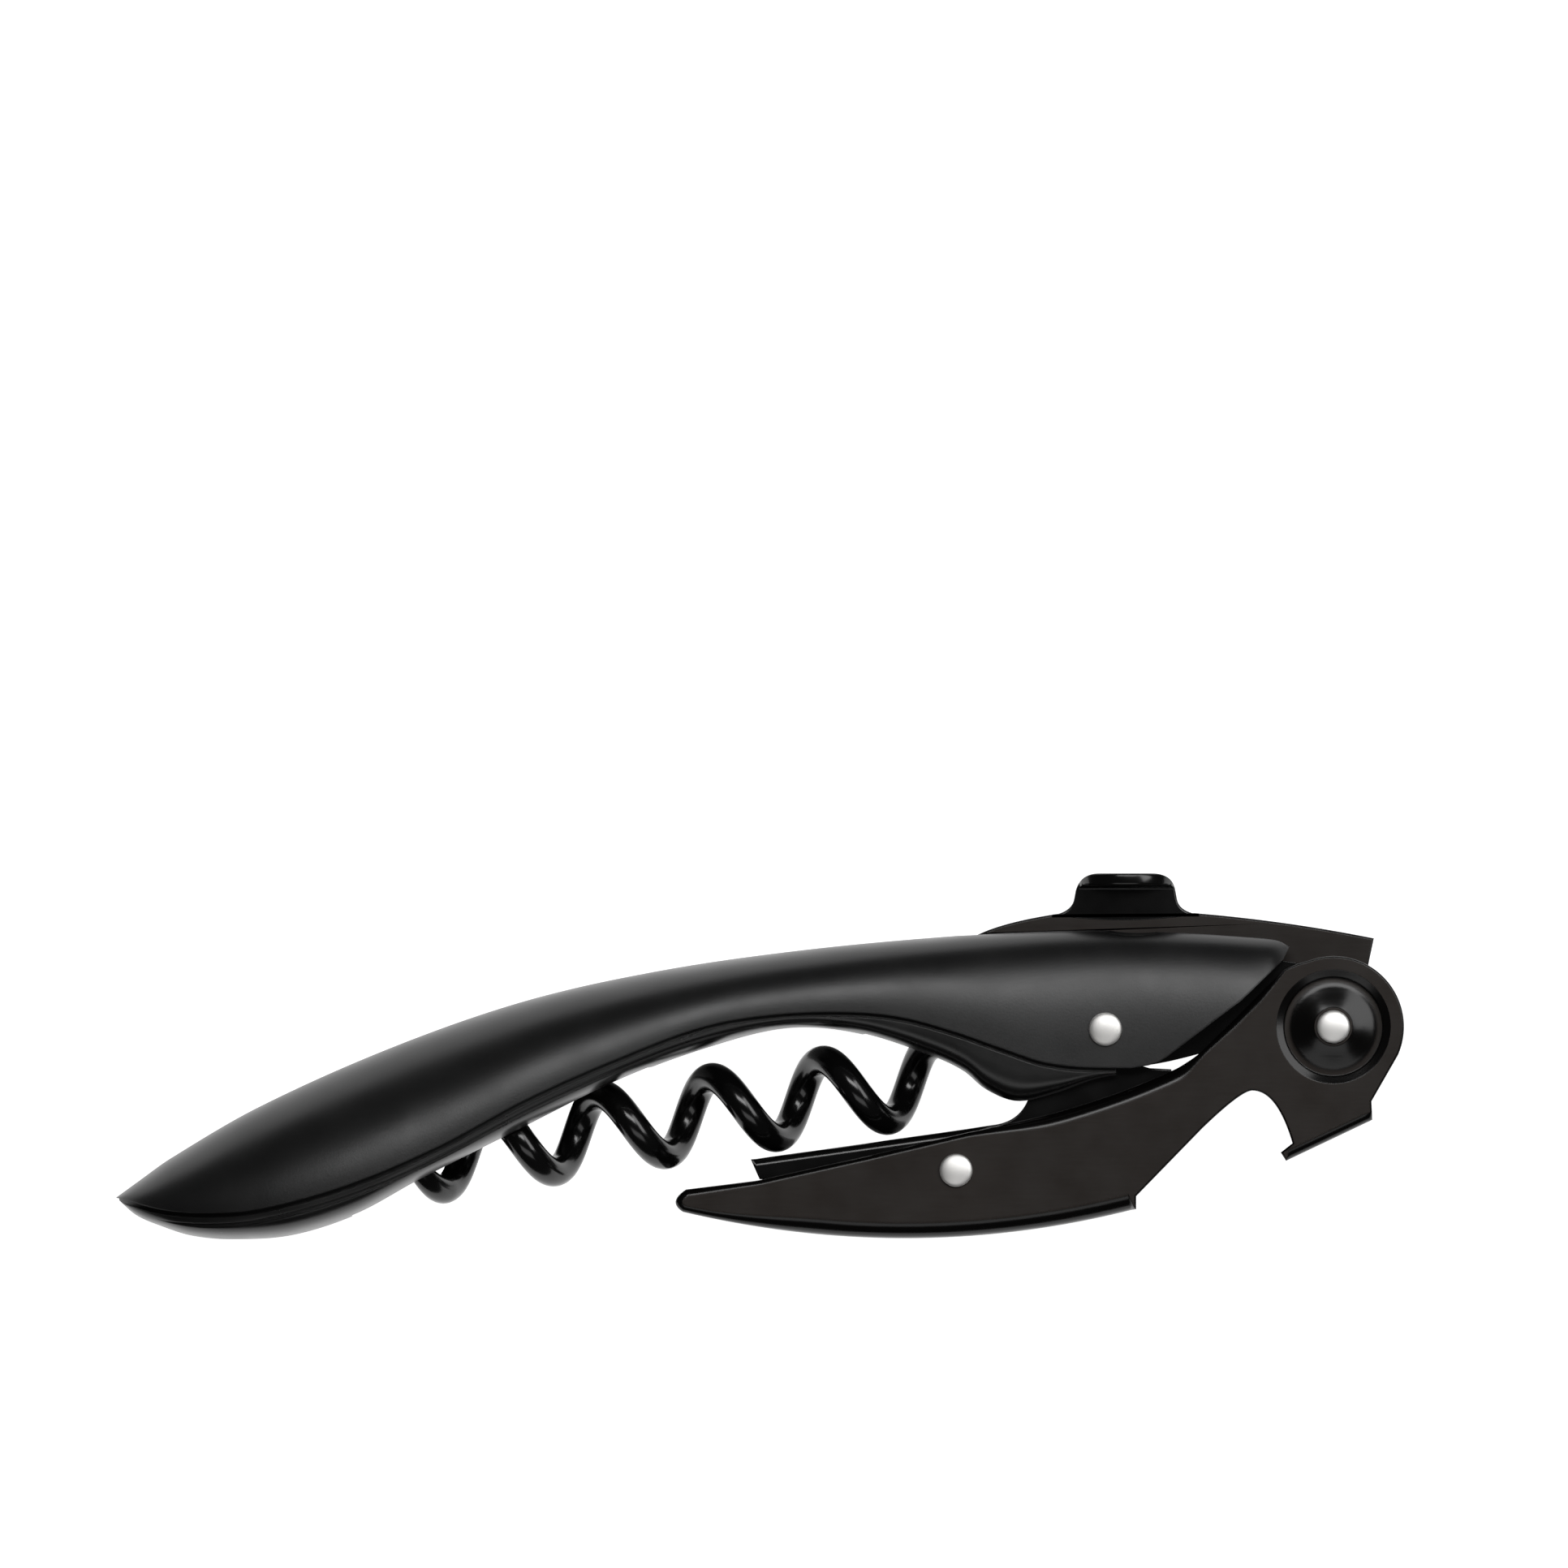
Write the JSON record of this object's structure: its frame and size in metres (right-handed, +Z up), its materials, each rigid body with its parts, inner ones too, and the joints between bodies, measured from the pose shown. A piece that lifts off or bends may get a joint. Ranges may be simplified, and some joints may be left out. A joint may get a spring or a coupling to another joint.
{
  "type": "waiters corkscrew",
  "caption": "Folding waiter's corkscrew with a curved grip, a hinged sheet lever with a rocking inner step, a worm and a foil blade.",
  "frame": {"origin": "under the middle of the folded tool's box, on the surface that it lies on", "axes": "+X along the handle towards the pivot end, +Y towards the handle's spine, +Z up across the tool, along every hinge pin"},
  "size_m": [0.12, 0.034, 0.0185],
  "materials": {
    "soft_touch_black": "soft-touch black, satin with broad highlights",
    "gloss_black_plastic": "polished black",
    "dark_coated_sheet": "satin brown-black coat on steel sheet",
    "gloss_black_coat": "gloss black low-friction coat on steel",
    "bright_steel": "bright rivet steel",
    "spring_steel": "drawn spring wire"
  },
  "bodies": {
    "handle": {"handle_shell": "soft_touch_black", "handle_rim": "gloss_black_plastic", "liner_frame": "gloss_black_coat", "liner_pin": "spring_steel", "pivot_pin": "bright_steel", "worm_pin": "bright_steel", "blade_spacer_upper": "bright_steel", "blade_spacer_lower": "bright_steel", "lever_spacer_upper": "bright_steel", "lever_spacer_lower": "bright_steel", "worm_spacer_upper": "bright_steel", "worm_spacer_lower": "bright_steel"},
    "lever": {"lever": "dark_coated_sheet", "step_pin": "bright_steel", "step_spring": "spring_steel", "step_spacer_upper": "bright_steel", "step_spacer_lower": "bright_steel"},
    "step": {"step_lever": "gloss_black_coat"},
    "worm": {"worm": "gloss_black_coat"},
    "blade": {"blade": "dark_coated_sheet"}
  },
  "joints": [
    {"name": "lever_swing", "type": "hinge", "parent": "handle", "child": "lever", "pos_m": [0.05342, 0.00276, 0.00926], "axis": [0, 0, 1], "range_deg": [0, 110]},
    {"name": "worm_swing", "type": "hinge", "parent": "handle", "child": "worm", "pos_m": [0.03217, 0.00253, 0.00926], "axis": [0, 0, 1], "range_deg": [0, 90.2]},
    {"name": "blade_swing", "type": "hinge", "parent": "handle", "child": "blade", "pos_m": [0.05342, 0.00276, 0.00926], "axis": [0, 0, -1], "range_deg": [0, 170]},
    {"name": "step_rock", "type": "hinge", "parent": "lever", "child": "step", "pos_m": [0.01826, -0.01062, 0.00926], "axis": [0, 0, 1], "range_deg": [0, 8], "stiffness_Nm_per_rad": 0.08, "springref_deg": -5.73, "deforming": ["step_spring"]}
  ],
  "couplings": [
    {"joint": "worm_swing", "follows": "lever_swing", "ratio": 0.82}
  ]
}
